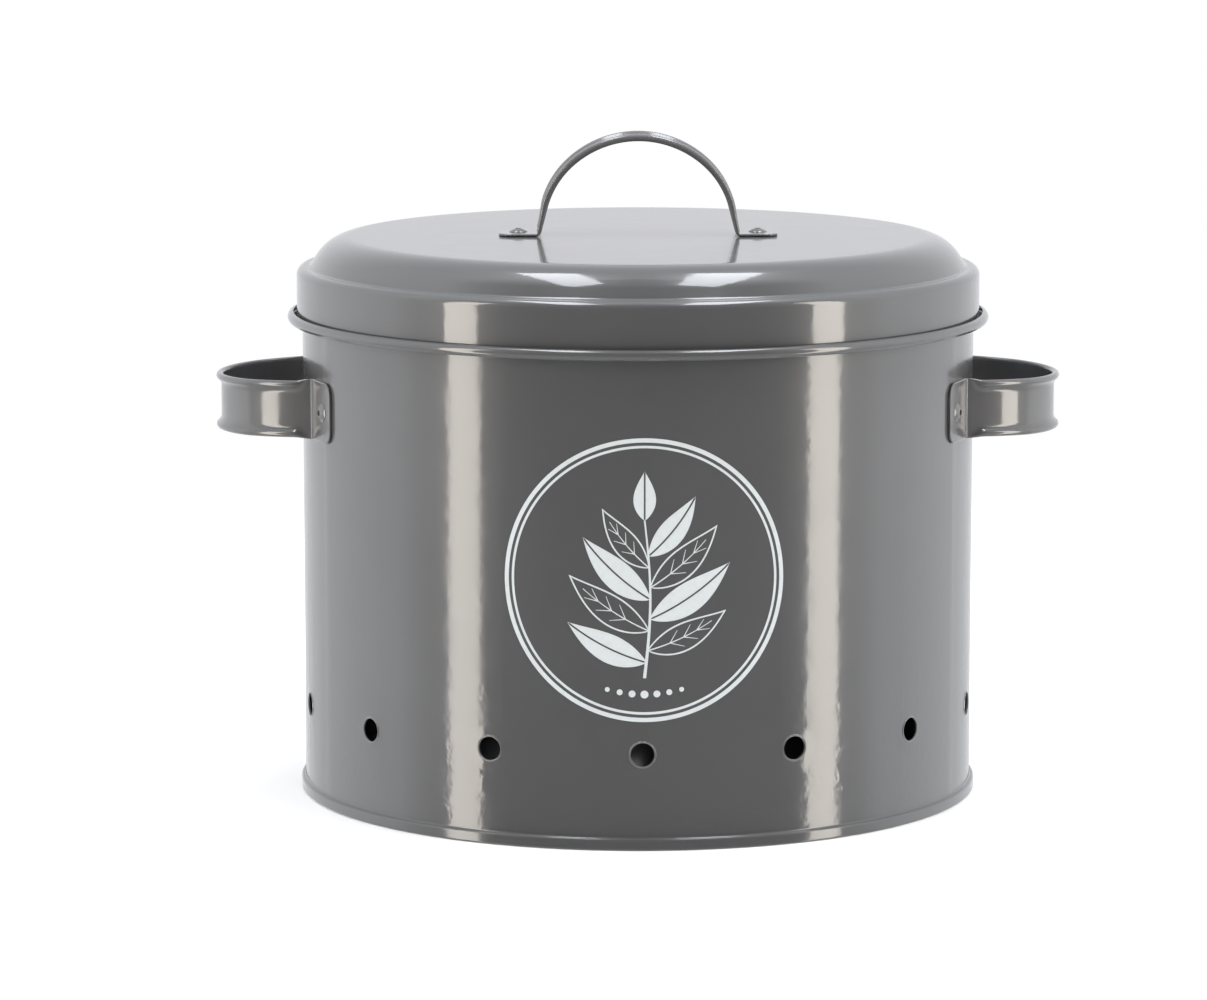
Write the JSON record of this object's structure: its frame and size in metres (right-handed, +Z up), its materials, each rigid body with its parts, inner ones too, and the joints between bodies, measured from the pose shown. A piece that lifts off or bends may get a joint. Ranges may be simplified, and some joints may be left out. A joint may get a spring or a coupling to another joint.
{
  "type": "potato storage bin",
  "caption": "Round lidded sheet-steel storage bin with strap handles on its sides and lid and a row of vent holes near its base.",
  "frame": {"origin": "middle of the seam's foot ring, on the floor that the bin stands on", "axes": "+Z up, -Y the front that the picture shows, +X towards the right-hand side handle"},
  "size_m": [0.2796, 0.2318, 0.2176],
  "materials": {
    "body": "gloss grey lacquer",
    "base": "gloss grey lacquer",
    "lid": "gloss grey lacquer",
    "strap": "gloss grey lacquer",
    "rivet": "gloss grey lacquer"
  },
  "bodies": {
    "bin": {"body_wall": "body", "base_plate": "base", "left_handle": "strap", "right_handle": "strap", "left_handle_front_rivet": "rivet", "left_handle_back_rivet": "rivet", "right_handle_front_rivet": "rivet", "right_handle_back_rivet": "rivet"},
    "lid": {"lid_shell": "lid", "lid_handle": "strap", "lid_handle_left_rivet": "rivet", "lid_handle_right_rivet": "rivet"}
  },
  "joints": [
    {"name": "lid_lift", "type": "slide", "parent": "bin", "child": "lid", "axis": [0, 0, 1], "range_m": [0, 0.2]}
  ]
}
